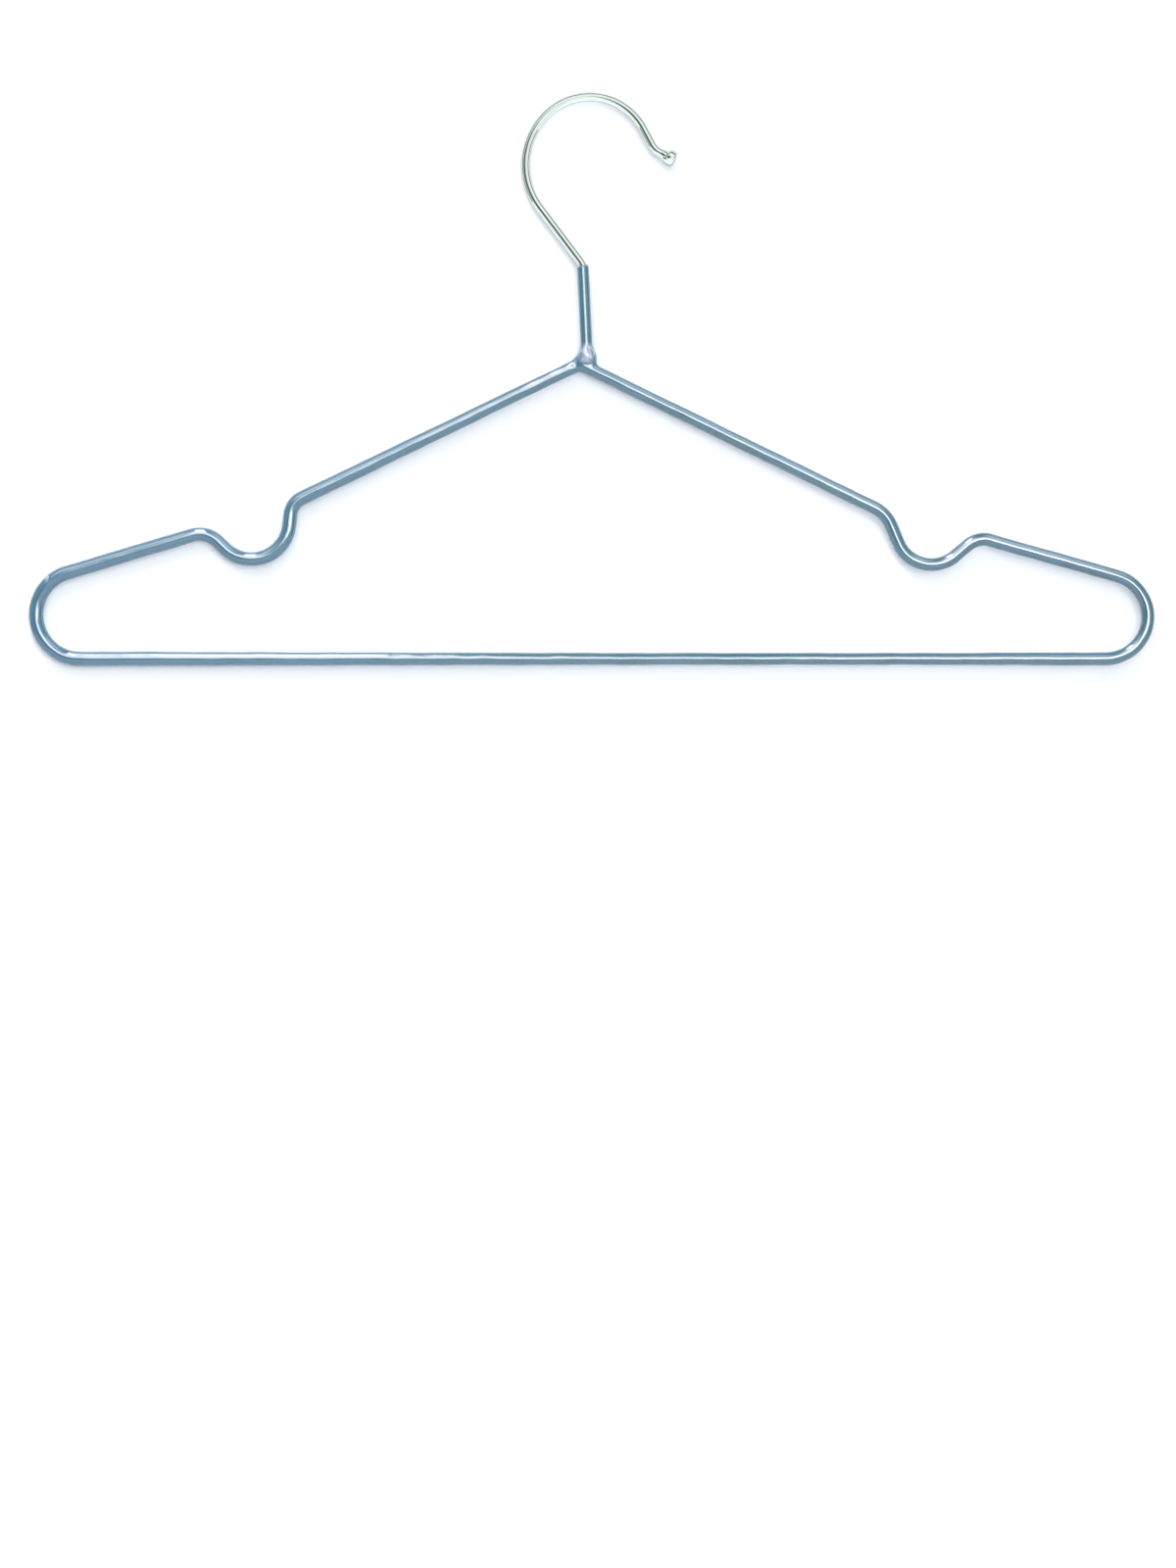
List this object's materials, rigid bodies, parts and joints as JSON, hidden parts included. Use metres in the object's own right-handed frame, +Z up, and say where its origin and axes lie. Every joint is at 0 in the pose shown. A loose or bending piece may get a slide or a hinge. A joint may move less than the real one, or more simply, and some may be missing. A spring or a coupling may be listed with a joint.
{
  "type": "trouser hanger",
  "caption": "Bent wire clothes hanger with a plastic-dipped loop, strap notches, a straight trouser bar and a bare ball-tipped hook.",
  "frame": {"origin": "inside of the hook's crown, where a rail or pin carries the hanger", "axes": "+X along the bar towards the side where the hook opens, +Z up, Y across the thin direction"},
  "size_m": [0.4004, 0.0072, 0.2041],
  "materials": {
    "plated_steel": "bright plated wire with fine drawing lines",
    "bare_steel": "drawn wire, hidden inside the coat",
    "weld_steel": "as welded, hidden inside the coat",
    "dipped_plastic": "glossy dipped soft plastic, slightly uneven in thickness"
  },
  "bodies": {
    "root": {"hook_wire": "plated_steel", "frame_wire": "bare_steel", "neck_weld": "weld_steel", "coating": "dipped_plastic"}
  },
  "joints": []
}
